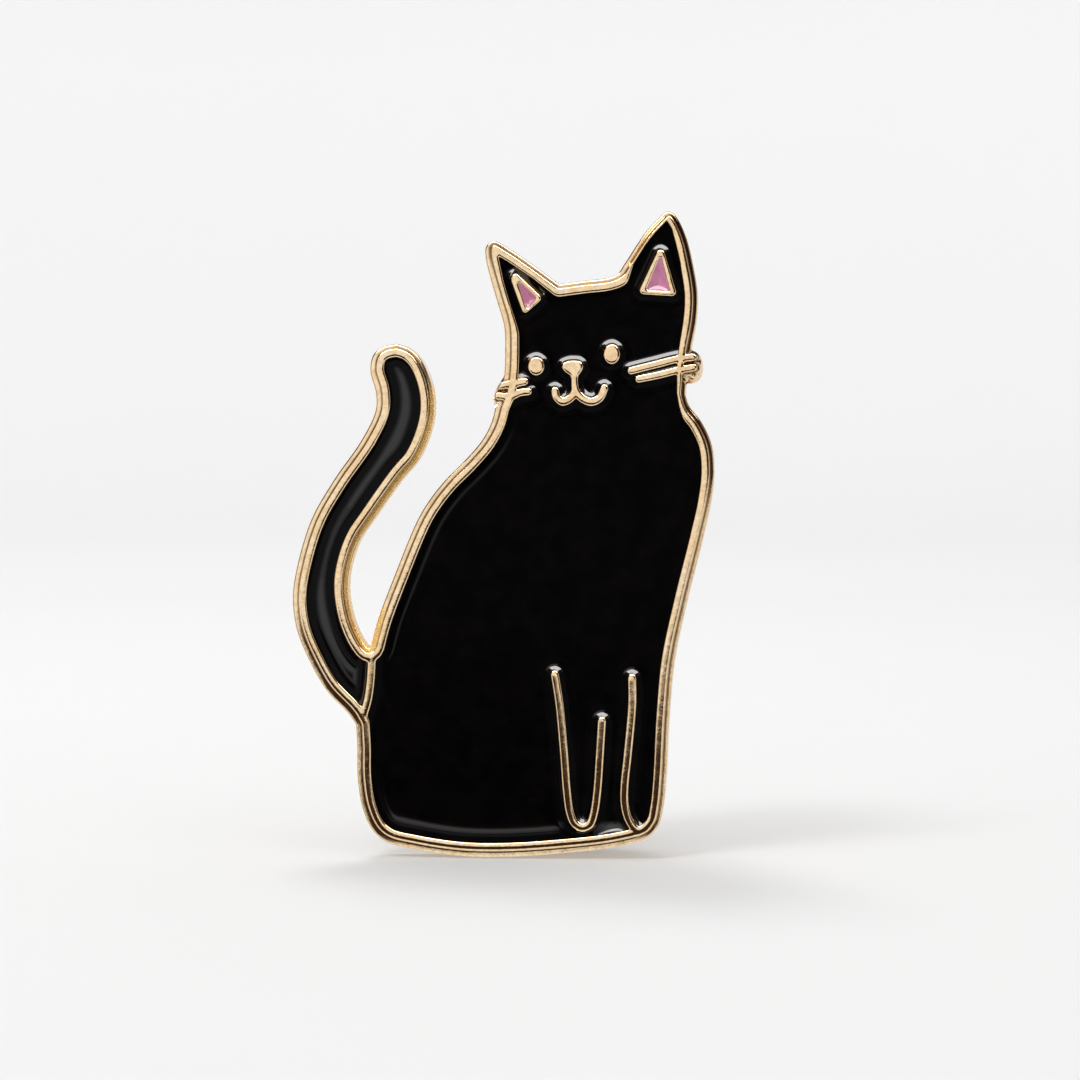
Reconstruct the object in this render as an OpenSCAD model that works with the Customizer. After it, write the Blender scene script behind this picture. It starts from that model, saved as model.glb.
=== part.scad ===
// Enamel pin in the shape of a sitting cat, with two ribbed posts and two butterfly clutches.
// +Z is the cat's up, the face looks along -Y and the flat back is the plane y = 0.
// Flat drawings are made in x and z. Heights above the back run along -Y on the front.

/* [Plate] */
// Thickness from the back to the shoulder of the rim
shoulder_t = 1.25; // [1.1:0.05:1.5]
// Height of the raised lines above the shoulder
line_h = 0.35; // [0.25:0.05:0.5]
// Thickness of metal under the enamel
floor_t = 0.9; // [0.7:0.05:1]
// How far the enamel lies below the top of the lines
enamel_drop = 0.25; // [0.1:0.05:0.3]

/* [Lines] */
// Width of the shoulder outside the raised rim
shoulder_w = 0.27; // [0.2:0.01:0.32]
// Distance from the edge of the plate to the enamel
rim_w = 0.7; // [0.62:0.02:0.76]
// Width of the raised lines
line_w = 0.44; // [0.36:0.02:0.5]

/* [Posts] */
// Radius of a post's shank
post_r = 0.6; // [0.55:0.01:0.62]
// Height of a post above the back
post_len = 8; // [7.8:0.1:9]
// Length of a post's point
tip_len = 1.1; // [0.8:0.1:1.2]
// Radius at the bottom of a post's grooves
groove_r = 0.42; // [0.36:0.02:0.44]
// Radius of the disc at a post's foot
foot_r = 1.6; // [1.4:0.05:1.7]
// Depth of the round seats in the back
seat_d = 0.15; // [0.1:0.05:0.25]

/* [Clutches] */
// Gap between the back and a clutch's cap, which the fabric fills
fabric_gap = 3.4; // [3.3:0.05:3.5]
// Thickness of the sheet metal
sheet_t = 0.3; // [0.25:0.01:0.32]
// Radius of the hole in a cap
cap_bore_r = 0.75; // [0.72:0.01:0.85]
// Width of the spring strip
strip_w = 4.6; // [4:0.1:5]
// Width of a jaw where it crosses the post
jaw_w = 3.2; // [2.6:0.1:3.4]
// Space between a jaw and the post
jaw_gap = 0.06; // [0.05:0.01:0.1]

/* [Hidden] */
$fn = 48;

gold = [0.88, 0.72, 0.44];
black_enamel = [0.03, 0.03, 0.03];
pink_enamel = [0.77, 0.47, 0.65];
front_t = shoulder_t + line_h;
enamel_t = front_t - enamel_drop;
seat_r = foot_r + 0.4;
solder_r = seat_r - 0.05;
upper_at = [4.3, 3.4];
lower_at = [1.0, -9.6];

// Outline of the plate, clockwise from the left cheek. Runs are smooth and meet at corners.
head_left = [[-0.38, 6.4], [-0.1, 7.1], [0.05, 8], [0.1, 9.2], [0.05, 10.4], [-0.33, 11.75],
    [-0.62, 12.75], [-0.87, 13.8], [-0.85, 14.35], [-0.5, 14.65], [0.4, 14.2], [1.5, 13.45], [2.8, 12.5]];
head_top = [[2.8, 12.5], [4, 12.66], [5.2, 12.8], [5.7, 13], [6.05, 13.5], [7.05, 15], [7.75, 15.75],
    [8.15, 16.08], [8.45, 15.98], [8.72, 15.65], [9.12, 14.75], [9.44, 13.45], [9.67, 12], [9.62, 10.7],
    [9.35, 9.2], [9.16, 8], [9.08, 7]];
side_right = [[9.08, 7], [9.27, 6.45], [9.88, 5.65], [10.38, 4.55], [10.52, 3.2],
    [10.37, 1.75], [9.93, -0.25], [9.19, -3.25], [8.56, -6.25], [8.31, -9], [8.16, -12], [8.02, -13.5],
    [7.8, -14.4], [7.22, -15.05], [5.7, -15.52], [2.8, -15.9], [0, -16.1], [-2.2, -16.07],
    [-4.5, -15.75], [-5.9, -15.4], [-6.6, -14.8], [-7.1, -13.7], [-7.34, -12.2], [-7.36, -10.6],
    [-7.42, -9.5]];
tail_outer = [[-7.42, -9.5], [-7.8, -8.95], [-8.9, -7.8], [-9.7, -6.45], [-10.4, -4.75], [-10.6, -3.2],
    [-10.4, -1.7], [-9.65, 0.75], [-8.5, 2.75], [-7.1, 4.75], [-6.4, 6.2], [-6.38, 7.1], [-6.66, 8.2],
    [-6.5, 9], [-6, 9.4], [-5.3, 9.55]];
tail_inner = [[-5.3, 9.55], [-4.65, 9.3], [-4.1, 8.75], [-3.65, 7.75], [-3.46, 6.6], [-3.6, 5.4],
    [-4.25, 3.8], [-5.12, 2.75], [-6.55, 0.75], [-7.25, -0.3], [-7.7, -1.6], [-7.82, -2.7],
    [-7.6, -4.1], [-7.2, -5.1], [-6.86, -5.6], [-6.74, -5.68], [-6.65, -5.54]];
body_left = [[-6.65, -5.54], [-6.3, -4.25], [-5.55, -2.25], [-4.3, 0.75], [-3.7, 1.75], [-2.9, 2.75],
    [-1.9, 3.75], [-1.05, 4.75], [-0.6, 5.6],
    [-0.38, 6.4]];

// Low bosses that stand out of the cheeks under the ends of the whiskers
boss_left = [[0.6, 8.1], [0.06, 7.86], [-0.2, 7.62], [-0.42, 7.25], [-0.5, 6.8], [-0.38, 6.4],
    [0.6, 6.2]];
boss_right = [[8.6, 9.3], [9.3, 9.22], [9.62, 9.12], [9.85, 8.8], [9.92, 8.25], [9.76, 7.78],
    [9.42, 7.57], [9.1, 7.6], [8.6, 7.6]];

// Enamel reaches further into the ear tips and the right cheek than an even rim would let it
ear_tip_left = [[-0.17, 13.84], [0.42, 13.48], [1.54, 12.74], [2.6, 11.87], [2, 11.5], [0.85, 10.2],
    [0.45, 11.4], [0.08, 12.65]];
ear_tip_right = [[8.15, 15.6], [8.4, 15.22], [8.56, 14.6], [8.8, 13.56], [8.9, 12], [7.4, 12.2],
    [6.2, 12.4], [6.56, 13.56], [7.1, 14.42], [7.6, 15.03]];
cheek_pool_right = [[8.2, 10.6], [8.9, 10.6], [8.8, 9.7], [8.69, 8.9], [8.66, 8], [8.66, 7.1],
    [8.76, 6.5], [9, 5.7], [8.2, 5.6]];

// Raised lines, each a smooth path down its middle
leg_front = [[2.66, -7.1], [2.85, -8.3], [3.1, -10.85], [3.22, -12.7], [3.4, -13.95], [3.64, -14.48],
    [4.02, -14.68], [4.35, -14.48], [4.55, -13.95], [4.72, -12.7], [4.86, -11], [4.97, -9.35]];
leg_back = [[6.49, -7.25], [6.5, -8.4], [6.28, -10.85], [6.12, -12.4], [6.12, -13.4], [6.26, -14.2],
    [6.5, -14.65], [6.95, -14.92], [7.4, -14.9]];
tail_line = [[-6.55, -6], [-6.62, -7.2], [-6.76, -8.2], [-7.05, -9.2]];
mouth_left = [[2.66, 7.18], [2.7, 6.92], [2.98, 6.67], [3.32, 6.78], [3.66, 7.14]];
mouth_right = [[3.66, 7.14], [4.02, 6.8], [4.46, 6.66], [4.84, 6.85], [5.04, 7.32]];
whiskers = [
    [[-0.12, 7.45], [0.5, 7.55], [1.12, 7.66]],
    [[-0.2, 6.95], [0.4, 6.92], [0.9, 7.12], [1.3, 7.17]],
    [[6.4, 8.2], [7.6, 8.5], [8.6, 8.75], [9.5, 8.88]],
    [[6.78, 7.79], [7.7, 7.97], [8.6, 8.19], [9.5, 8.36]]
];
whisker_w = 0.38;
nose = [[2.95, 8.35], [3, 8.55], [3.25, 8.68], [3.6, 8.71], [3.9, 8.66], [4.04, 8.45], [3.98, 8.2],
    [3.8, 7.93], [3.8, 7.5], [3.9, 7.2], [4.05, 6.95], [3.3, 6.95], [3.42, 7.2], [3.42, 7.5],
    [3.38, 7.93], [3.1, 8.15]];
eye_left = [1.69, 8.42];
eye_right = [5.45, 9.02];
eye_r = 0.42;

// Inner ears: a raised ring round a three-cornered pool
ear_ring_left = [[0.6, 13.1], [1.98, 11.78], [1.08, 11], [0.46, 12.7]];
ear_pool_left = [[0.77, 12.66], [1.68, 11.82], [1.24, 11.22]];
ear_ring_right = [[7.92, 14.3], [8.62, 11.94], [6.8, 12.06]];
ear_pool_right = [[7.86, 13.94], [8.32, 12.1], [7.16, 12.18]];

// Ends of the shape that holds the tail's enamel, drawn along the tail line
tail_side = [[-6.55, -6], [-6.62, -7.2], [-6.76, -8.2], [-7.05, -9.3], [-8, -10], [-12, -9], [-12, 11],
    [-2.2, 11], [-2.2, 7], [-3.2, 4.6], [-6.4, -0.6], [-6.9, -4.5]];

// Shank of a post: four grooves below the point
groove_w = 0.6;
groove_pitch = 1.05;
groove_first = fabric_gap - 0.15;
grooves = 4;
foot_t = 0.35;

// Clutch, drawn with its post along z, its wings along x and its fabric side at z = 0
dome_h = 0.25;
cap_flat_r = 4.6;
cap_curl_r = 1;
collar_r = 1.05;
collar_h = 0.25;
strip_hole_r = 1.2;
tab_w = 1.6;
strip_z = dome_h + sheet_t;
fold_x = 3.6;
fold_gap = 0.06;
fold_z = strip_z + sheet_t / 2;
loop_r = 2.3;
crown_r = 1.75;
bend_r = 0.35;
jaw_low_z = fold_z + 1.25;
jaw_high_z = fold_z + 2.3;
jaw_reach = 1.15;
jaw_travel = 0.35;

// Knot value after the span from a to b, which keeps a curve from overshooting
function next_knot(t, a, b) = t + sqrt(norm(b - a));
function blend(a, b, ta, tb, t) = (a * (tb - t) + b * (t - ta)) / (tb - ta);

// Point at the fraction f of the span from p1 to p2
function span_point(p0, p1, p2, p3, f) =
    let (
        t1 = next_knot(0, p0, p1),
        t2 = next_knot(t1, p1, p2),
        t3 = next_knot(t2, p2, p3),
        t = t1 + f * (t2 - t1),
        a1 = blend(p0, p1, 0, t1, t),
        a2 = blend(p1, p2, t1, t2, t),
        a3 = blend(p2, p3, t2, t3, t),
        b1 = blend(a1, a2, 0, t2, t),
        b2 = blend(a2, a3, t1, t3, t)
    )
    blend(b1, b2, t1, t2, t);

// Smooth curve through points, with its last point left off
function open_curve(p, steps) =
    let (last = len(p) - 1)
    [for (i = [0:last - 1], k = [0:steps - 1])
        span_point(
            i > 0 ? p[i - 1] : 2 * p[0] - p[1],
            p[i],
            p[i + 1],
            i < last - 1 ? p[i + 2] : 2 * p[last] - p[last - 1],
            k / steps
        )];

function curve(p, steps = 3) = concat(open_curve(p, steps), [p[len(p) - 1]]);

function direction(p, i) =
    let (d = p[min(i + 1, len(p) - 1)] - p[max(i - 1, 0)])
    d / norm(d);

// Half circle of radius r round the end c of a line that points along d
function round_end(c, d, r) =
    [for (a = [72:-24:-72]) c + r * [d[0] * cos(a) - d[1] * sin(a), d[0] * sin(a) + d[1] * cos(a)]];

// Outline of a band of width w along points, with round ends
function band(p, w) =
    let (
        last = len(p) - 1,
        side = [for (i = [0:last]) w / 2 * [-direction(p, i)[1], direction(p, i)[0]]]
    )
    concat(
        [for (i = [0:last]) p[i] + side[i]],
        round_end(p[last], direction(p, last), w / 2),
        [for (i = [last:-1:0]) p[i] - side[i]],
        round_end(p[0], -direction(p, 0), w / 2)
    );

function arc(c, r, from, to, steps) =
    [for (i = [0:steps]) let (a = from + (to - from) * i / steps) c + r * [cos(a), sin(a)]];

outline = concat(
    open_curve(head_left, 3), open_curve(head_top, 3), open_curve(side_right, 3),
    open_curve(tail_outer, 3), open_curve(tail_inner, 3), open_curve(body_left, 3)
);

// A flat drawing given thickness, from one height above the back to another
module slab(from, to) {
    translate([0, -from, 0]) rotate([90, 0, 0]) linear_extrude(to - from) children();
}

module silhouette() {
    polygon(outline);
}

module bosses_2d() {
    polygon(curve(boss_left, 3));
    polygon(curve(boss_right, 3));
}

module rounded(pts, r) {
    offset(r = r, $fn = 24) offset(delta = -r) polygon(pts);
}

// The raised work sits a little up and right of the outline, so the rim is wider below
module inset_outline(w) {
    translate([0.06, 0.06]) offset(delta = -w) silhouette();
}

module eye_2d(at, tall) {
    translate(at) polygon([for (a = [0:20:340]) [eye_r * cos(a), tall * sin(a)]]);
}

module face_lines_2d() {
    eye_2d(eye_left, 0.46);
    eye_2d(eye_right, 0.5);
    polygon(nose);
    polygon(band(curve(mouth_left), line_w));
    polygon(band(curve(mouth_right), line_w));
    for (path = whiskers) polygon(band(curve(path), whisker_w));
}

module lines_2d() {
    face_lines_2d();
    polygon(band(curve(leg_front), line_w));
    polygon(band(curve(leg_back), line_w));
    polygon(band(curve(tail_line), line_w));
    rounded(ear_ring_left, 0.15);
    rounded(ear_ring_right, 0.18);
}

module pool_outline_2d() {
    inset_outline(rim_w);
    intersection() {
        union() {
            polygon(ear_tip_left);
            polygon(ear_tip_right);
            polygon(cheek_pool_right);
        }
        inset_outline(shoulder_w + 0.1);
    }
}

// Everything inside the rim that isn't a line, without slits too narrow to fill
module pools_2d() {
    offset(delta = 0.04) offset(delta = -0.04) difference() {
        pool_outline_2d();
        lines_2d();
    }
}

module tail_pool_2d() {
    intersection() {
        pools_2d();
        polygon(tail_side);
    }
}

module body_pool_2d() {
    difference() {
        pools_2d();
        polygon(tail_side);
    }
}

module raised_2d() {
    difference() {
        inset_outline(shoulder_w);
        pool_outline_2d();
    }
    intersection() {
        lines_2d();
        union() {
            inset_outline(shoulder_w);
            offset(delta = -0.12) bosses_2d();
        }
    }
}

module all_pools_2d() {
    tail_pool_2d();
    body_pool_2d();
    rounded(ear_pool_left, 0.05);
    rounded(ear_pool_right, 0.05);
}

module base_plate() {
    color(gold) difference() {
        union() {
            slab(0, shoulder_t) union() {
                silhouette();
                bosses_2d();
            }
            slab(shoulder_t - 0.1, front_t) union() {
                raised_2d();
                inset_outline(rim_w - 0.1);
            }
        }
        slab(floor_t, front_t + 1) all_pools_2d();
        for (at = [upper_at, lower_at]) at_back(at) cylinder(h = 2 * seat_d, r = seat_r, center = true);
    }
}

module enamel(tint) {
    color(tint) slab(floor_t, enamel_t) children();
}

module enamel_body() {
    enamel(black_enamel) body_pool_2d();
}

module enamel_tail() {
    enamel(black_enamel) tail_pool_2d();
}

module enamel_ear_left() {
    enamel(pink_enamel) rounded(ear_pool_left, 0.05);
}

module enamel_ear_right() {
    enamel(pink_enamel) rounded(ear_pool_right, 0.05);
}

// Puts something drawn along z on the back, with z turned to +Y and x to +Z
module at_back(at) {
    translate([at[0], 0, at[1]]) rotate([-90, -90, 0]) children();
}

module post(at) {
    groove_points = [for (i = [0:grooves - 1])
        let (low = groove_first - groove_w / 2 + i * groove_pitch)
        each [[post_r, low], [groove_r, low], [groove_r, low + groove_w], [post_r, low + groove_w]]];
    profile = concat(
        [[0, -seat_d], [foot_r, -seat_d], [foot_r, foot_t - seat_d], [post_r, foot_t - seat_d]],
        groove_points,
        [[post_r, post_len - tip_len], [0.38, post_len - 0.5], [0, post_len]]
    );
    color(gold) at_back(at) rotate_extrude() polygon(profile);
}

module solder(at) {
    profile = concat(
        [[foot_r, -seat_d], [solder_r, -seat_d], [solder_r, -0.05]],
        arc([solder_r, foot_t - seat_d], foot_t - seat_d + 0.05, -105, -165, 4),
        [[foot_r, foot_t - seat_d - 0.05]]
    );
    color([0.75, 0.75, 0.77]) at_back(at) rotate_extrude() polygon(profile);
}

module at_clutch(at) {
    at_back(at) translate([0, 0, fabric_gap]) children();
}

// Dished cap: a domed middle with a collar, a flat ring and a curled edge
module clutch_cap(at) {
    curl = [cap_flat_r, cap_curl_r];
    profile = concat(
        [[cap_bore_r, dome_h], [3, dome_h], [3.7, 0]],
        arc(curl, cap_curl_r, -90, -30, 8),
        arc(curl, cap_curl_r - sheet_t, -30, -90, 8),
        [[3.8, sheet_t], [3.15, strip_z], [collar_r, strip_z], [collar_r, strip_z + collar_h],
            [cap_bore_r, strip_z + collar_h]]
    );
    color(gold) at_clutch(at) {
        rotate_extrude() polygon(profile);
        // Two tabs rise beside the strip and fold over it
        for (side = [-1, 1]) translate([-tab_w / 2, side * (strip_w / 2 + 0.2) - 0.15, strip_z - 0.1])
            cube([tab_w, 0.3, 2 * sheet_t + 0.1]);
        for (side = [-1, 1]) translate([-tab_w / 2, side * (strip_w / 2 - 0.1) - 0.45, strip_z + sheet_t])
            cube([tab_w, 0.9, sheet_t]);
    }
}

// The spring strip where it lies in the cap, from fold to fold
module clutch_spring(at) {
    reach = fold_x - fold_gap / 2;
    color(gold) at_clutch(at) difference() {
        translate([-reach, -strip_w / 2, strip_z]) cube([2 * reach, strip_w, sheet_t]);
        translate([0, 0, strip_z - 1]) cylinder(h = 3, r = strip_hole_r);
    }
}

// Middle line of a wing: out from its fold, round the loop, down and in across the post
function wing_path(jaw_z) =
    let (
        loop_c = [fold_x, fold_z + loop_r],
        crown_c = loop_c + (loop_r - crown_r) * [cos(45), sin(45)],
        drop_x = crown_c[0] - crown_r
    )
    concat(
        [[fold_x + fold_gap / 2, fold_z]],
        arc(loop_c, loop_r, -84, 45, 14),
        arc(crown_c, crown_r, 57, 180, 10),
        arc([drop_x - bend_r, jaw_z + bend_r], bend_r, 0, -90, 4),
        [[-jaw_reach, jaw_z]]
    );

// A strip of sheet metal seen edge on, with square ends
function strip_outline(p) =
    let (side = [for (i = [0:len(p) - 1]) sheet_t / 2 * [-direction(p, i)[1], direction(p, i)[0]]])
    concat([for (i = [0:len(p) - 1]) p[i] + side[i]], [for (i = [len(p) - 1:-1:0]) p[i] - side[i]]);

module clutch_wing(at, side, jaw_z) {
    slot_r = post_r + jaw_gap;
    waist = (strip_w - jaw_w) / 2;
    color(gold) at_clutch(at) mirror([side < 0 ? 1 : 0, 0, 0]) difference() {
        rotate([90, 0, 0]) linear_extrude(strip_w, center = true) polygon(strip_outline(wing_path(jaw_z)));
        for (edge = [-1, 1]) translate([-3, edge * strip_w / 2 - waist, 0]) cube([4.8, 2 * waist, 6]);
        cylinder(h = jaw_high_z + 1, r = slot_r);
        translate([jaw_travel, 0, 0]) cylinder(h = jaw_high_z + 1, r = slot_r);
        translate([0, -slot_r, 0]) cube([jaw_travel, 2 * slot_r, jaw_high_z + 1]);
    }
}

base_plate();
enamel_body();
enamel_tail();
enamel_ear_left();
enamel_ear_right();
post(upper_at);  // upper_post
post(lower_at);  // lower_post
solder(upper_at);  // upper_solder
solder(lower_at);  // lower_solder
clutch_cap(upper_at);  // upper_clutch_cap
clutch_spring(upper_at);  // upper_clutch_spring
clutch_wing(upper_at, 1, jaw_high_z);  // upper_clutch_wing_high
clutch_wing(upper_at, -1, jaw_low_z);  // upper_clutch_wing_low
clutch_cap(lower_at);  // lower_clutch_cap
clutch_spring(lower_at);  // lower_clutch_spring
clutch_wing(lower_at, 1, jaw_high_z);  // lower_clutch_wing_high
clutch_wing(lower_at, -1, jaw_low_z);  // lower_clutch_wing_low
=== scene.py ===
import math

import bmesh
import bpy
import numpy as np
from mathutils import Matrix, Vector
from mathutils.geometry import delaunay_2d_cdt


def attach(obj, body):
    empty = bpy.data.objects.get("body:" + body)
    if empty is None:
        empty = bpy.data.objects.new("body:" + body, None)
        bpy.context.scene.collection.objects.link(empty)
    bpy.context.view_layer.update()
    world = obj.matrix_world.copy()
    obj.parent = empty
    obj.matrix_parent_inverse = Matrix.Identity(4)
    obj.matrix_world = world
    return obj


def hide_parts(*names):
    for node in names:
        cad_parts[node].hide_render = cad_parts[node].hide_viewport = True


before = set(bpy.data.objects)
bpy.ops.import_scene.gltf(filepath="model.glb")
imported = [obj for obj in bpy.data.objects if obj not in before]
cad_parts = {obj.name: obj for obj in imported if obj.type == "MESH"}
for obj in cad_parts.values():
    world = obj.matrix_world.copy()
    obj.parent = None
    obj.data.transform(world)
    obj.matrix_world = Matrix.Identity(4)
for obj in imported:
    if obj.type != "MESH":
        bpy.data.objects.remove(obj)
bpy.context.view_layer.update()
MM = 0.001

# Heights above the flat back, in mm, as in the part's source
SHOULDER, TOP, FLOOR, ENAMEL = 1.25, 1.6, 0.9, 1.35
# Where the posts stand, and the radius and depth of their seats in the back
UPPER, LOWER = (4.3, 3.4), (1.0, -9.6)
SEAT_R, SEAT_D = 2.0, 0.15
# Widths in mm: shoulder outside the rim line, edge to enamel, and the same where the ears and
# cheeks leave less metal
SHOULDER_W, RIM_W, TIP_RIM_W = 0.27, 0.70, 0.37
# Widths of the raised lines
LEG_W, TAIL_W, MOUTH_W, WHISKER_W = 0.43, 0.44, 0.42, 0.38
# How far the rim line's drawing is moved against the outline, and how far the whiskers' lug
# stands outside them
RIM_SHIFT, LUG_EDGE = (0.06, 0.06), 0.12

# ---------------------------------------------------------------- drawing, in mm

HEAD_LEFT = [(-0.38, 6.4), (-0.1, 7.1), (0.05, 8), (0.1, 9.2), (0.05, 10.4), (-0.33, 11.75),
             (-0.62, 12.75), (-0.87, 13.8), (-0.85, 14.35), (-0.5, 14.65), (0.4, 14.2), (1.5, 13.45),
             (2.8, 12.5)]
HEAD_TOP = [(2.8, 12.5), (4, 12.66), (5.2, 12.8), (5.7, 13), (6.05, 13.5), (7.05, 15), (7.75, 15.75),
            (8.15, 16.08), (8.45, 15.98), (8.72, 15.65), (9.12, 14.75), (9.44, 13.45), (9.67, 12),
            (9.62, 10.7), (9.35, 9.2), (9.16, 8), (9.08, 7)]
SIDE_RIGHT = [(9.08, 7), (9.27, 6.45), (9.88, 5.65), (10.38, 4.55), (10.52, 3.2), (10.37, 1.75),
              (9.93, -0.25), (9.19, -3.25), (8.56, -6.25), (8.31, -9), (8.16, -12), (8.02, -13.5),
              (7.8, -14.4), (7.22, -15.05), (5.7, -15.52), (2.8, -15.9), (0, -16.1), (-2.2, -16.07),
              (-4.5, -15.75), (-5.9, -15.4), (-6.6, -14.8), (-7.1, -13.7), (-7.34, -12.2),
              (-7.36, -10.6), (-7.42, -9.5)]
TAIL_OUTER = [(-7.42, -9.5), (-7.8, -8.95), (-8.9, -7.8), (-9.7, -6.45), (-10.4, -4.75), (-10.6, -3.2),
              (-10.4, -1.7), (-9.65, 0.75), (-8.5, 2.75), (-7.1, 4.75), (-6.4, 6.2), (-6.38, 7.1),
              (-6.66, 8.2), (-6.5, 9), (-6, 9.4), (-5.3, 9.55)]
TAIL_INNER = [(-5.3, 9.55), (-4.65, 9.3), (-4.1, 8.75), (-3.65, 7.75), (-3.46, 6.6), (-3.6, 5.4),
              (-4.25, 3.8), (-5.12, 2.75), (-6.55, 0.75), (-7.25, -0.3), (-7.7, -1.6), (-7.82, -2.7),
              (-7.6, -4.1), (-7.2, -5.1), (-6.86, -5.6), (-6.74, -5.68), (-6.65, -5.54)]
BODY_LEFT = [(-6.65, -5.54), (-6.3, -4.25), (-5.55, -2.25), (-4.3, 0.75), (-3.7, 1.75), (-2.9, 2.75),
             (-1.9, 3.75), (-1.05, 4.75), (-0.6, 5.6), (-0.38, 6.4)]
# Lugs at the cheeks, which carry the whiskers' ends
BOSS_LEFT = [(0.6, 8.1), (0.06, 7.86), (-0.2, 7.62), (-0.42, 7.25), (-0.5, 6.8), (-0.38, 6.4),
             (0.6, 6.2)]
BOSS_RIGHT = [(8.6, 9.3), (9.3, 9.22), (9.62, 9.12), (9.85, 8.8), (9.92, 8.25), (9.76, 7.78),
              (9.42, 7.57), (9.1, 7.6), (8.6, 7.6)]
# Where the enamel reaches further out than the plain rim lets it
EAR_TIP_LEFT = [(-0.17, 13.84), (0.42, 13.48), (1.54, 12.74), (2.6, 11.87), (2, 11.5), (0.85, 10.2),
                (0.45, 11.4), (0.08, 12.65)]
EAR_TIP_RIGHT = [(8.15, 15.6), (8.4, 15.22), (8.56, 14.6), (8.8, 13.56), (8.9, 12), (7.4, 12.2),
                 (6.2, 12.4), (6.56, 13.56), (7.1, 14.42), (7.6, 15.03)]
CHEEK_POOL = [(8.2, 10.6), (8.9, 10.6), (8.8, 9.7), (8.69, 8.9), (8.66, 8), (8.66, 7.1), (8.76, 6.5),
              (9, 5.7), (8.2, 5.6)]
LEG_FRONT = [(2.62, -6.9), (2.84, -8.3), (3.08, -10.85), (3.22, -12.7), (3.38, -13.8), (3.62, -14.34),
             (4.02, -14.55), (4.38, -14.34), (4.58, -13.8), (4.74, -12.7), (4.86, -11), (4.97, -9.2)]
LEG_BACK = [(6.47, -7.05), (6.48, -8.3), (6.26, -10.85), (6.1, -12.4), (6.1, -13.3), (6.28, -14.05),
            (6.6, -14.55), (7.0, -14.8), (7.4, -14.8)]
TAIL_LINE = [(-6.55, -6), (-6.62, -7.2), (-6.76, -8.2), (-7.05, -9.2)]
MOUTH_LEFT = [(2.63, 7.2), (2.7, 6.92), (2.98, 6.67), (3.32, 6.78), (3.66, 7.14)]
MOUTH_RIGHT = [(3.66, 7.14), (4.02, 6.8), (4.46, 6.66), (4.86, 6.86), (5.08, 7.33)]
WHISKERS = [[(-0.12, 7.45), (0.5, 7.55), (1.12, 7.66)],
            [(-0.2, 6.95), (0.4, 6.92), (0.9, 7.12), (1.3, 7.17)],
            [(6.4, 8.2), (7.6, 8.5), (8.6, 8.75), (9.5, 8.88)],
            [(6.78, 7.79), (7.7, 7.97), (8.6, 8.19), (9.5, 8.36)]]
NOSE = [(2.95, 8.35), (3, 8.55), (3.25, 8.68), (3.6, 8.71), (3.9, 8.66), (4.04, 8.45), (3.98, 8.2),
        (3.8, 7.93), (3.8, 7.5), (3.9, 7.2), (4.05, 6.95), (3.3, 6.95), (3.42, 7.2), (3.42, 7.5),
        (3.38, 7.93), (3.1, 8.15)]
# Middle and half sizes of each eye
EYES = [(1.69, 8.42, 0.42, 0.46), (5.45, 9.02, 0.42, 0.5)]
# Outer corners, their radius, and inner corners of each inner ear's line
EAR_RINGS = [([(0.6, 13.1), (1.98, 11.78), (1.08, 11), (0.46, 12.7)], 0.15,
              [(0.77, 12.66), (1.68, 11.82), (1.24, 11.22)]),
             ([(7.9, 14.46), (8.67, 11.9), (6.75, 12.02)], 0.18,
              [(7.86, 13.88), (8.31, 12.12), (7.17, 12.2)])]


def spline(points, step=0.06, last=True):
    """Centripetal curve through points, about step mm between samples."""
    p = [np.array(q, float) for q in points]
    p = [2 * p[0] - p[1]] + p + [2 * p[-1] - p[-2]]
    out = []
    for i in range(1, len(p) - 2):
        p0, p1, p2, p3 = p[i - 1:i + 3]
        t1 = math.sqrt(np.linalg.norm(p1 - p0))
        t2 = t1 + math.sqrt(np.linalg.norm(p2 - p1))
        t3 = t2 + math.sqrt(np.linalg.norm(p3 - p2))
        n = max(2, math.ceil(np.linalg.norm(p2 - p1) / step))
        for t in np.linspace(t1, t2, n, endpoint=False):
            a1 = (p0 * (t1 - t) + p1 * t) / t1
            a2 = (p1 * (t2 - t) + p2 * (t - t1)) / (t2 - t1)
            a3 = (p2 * (t3 - t) + p3 * (t - t2)) / (t3 - t2)
            b1 = (a1 * (t2 - t) + a2 * t) / t2
            b2 = (a2 * (t3 - t) + a3 * (t - t1)) / (t3 - t1)
            out.append((b1 * (t2 - t) + b2 * (t - t1)) / (t2 - t1))
    if last:
        out.append(p[-2])
    return np.array(out)


OUTLINE = np.vstack([spline(run, last=False) for run in
                     (HEAD_LEFT, HEAD_TOP, SIDE_RIGHT, TAIL_OUTER, TAIL_INNER, BODY_LEFT)])

# ---------------------------------------------------------------- distance fields on a grid

# Grid step, and the distance at which the fields stop growing
CELL, REACH = 0.05, 1.9
GX = np.arange(-11.5, 11.5, CELL)
GZ = np.arange(-17.0, 17.0, CELL)


def distance(points, closed):
    """Distance from each grid point to a chain of points, cut off at REACH."""
    d = np.full((len(GX), len(GZ)), REACH ** 2)
    q = np.vstack([points, points[:1]]) if closed else points
    for a, b in zip(q[:-1], q[1:]):
        lo, hi = np.minimum(a, b) - REACH, np.maximum(a, b) + REACH
        i0, i1 = np.searchsorted(GX, [lo[0], hi[0]])
        j0, j1 = np.searchsorted(GZ, [lo[1], hi[1]])
        x, z = GX[i0:i1, None] - a[0], GZ[None, j0:j1] - a[1]
        s = b - a
        t = np.clip((x * s[0] + z * s[1]) / max(s @ s, 1e-12), 0, 1)
        w = d[i0:i1, j0:j1]
        np.minimum(w, (x - t * s[0]) ** 2 + (z - t * s[1]) ** 2, out=w)
    return np.sqrt(d)


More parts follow.
